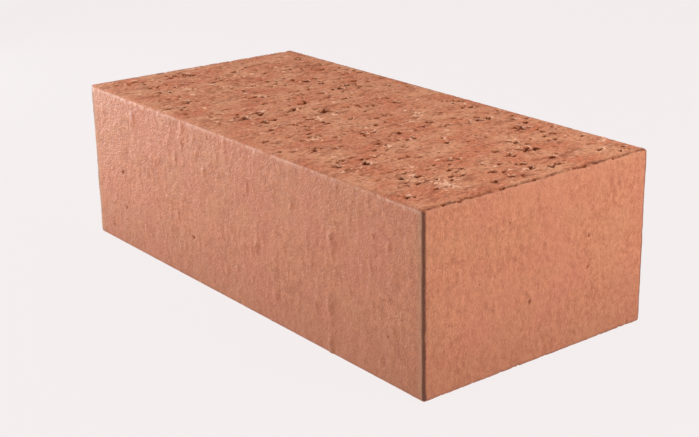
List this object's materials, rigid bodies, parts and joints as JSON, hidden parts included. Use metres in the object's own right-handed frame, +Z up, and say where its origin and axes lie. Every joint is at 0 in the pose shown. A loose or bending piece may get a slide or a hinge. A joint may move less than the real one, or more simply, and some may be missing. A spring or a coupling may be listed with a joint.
{
  "type": "clay brick",
  "caption": "Solid extruded, wire-cut building brick in fired terracotta clay: a plain block with rounded upright arrises, smooth sides and rough cut beds.",
  "frame": {"origin": "middle of the lower bed, the flat cut face that the brick lies on", "axes": "+X along the stretcher (the length), +Y along the header (the width), +Z up from the lower bed to the upper bed (the height)"},
  "size_m": [0.215, 0.1024, 0.065],
  "materials": {
    "fired_clay": "matte"
  },
  "bodies": {
    "root": {"brick": "fired_clay"}
  },
  "joints": []
}
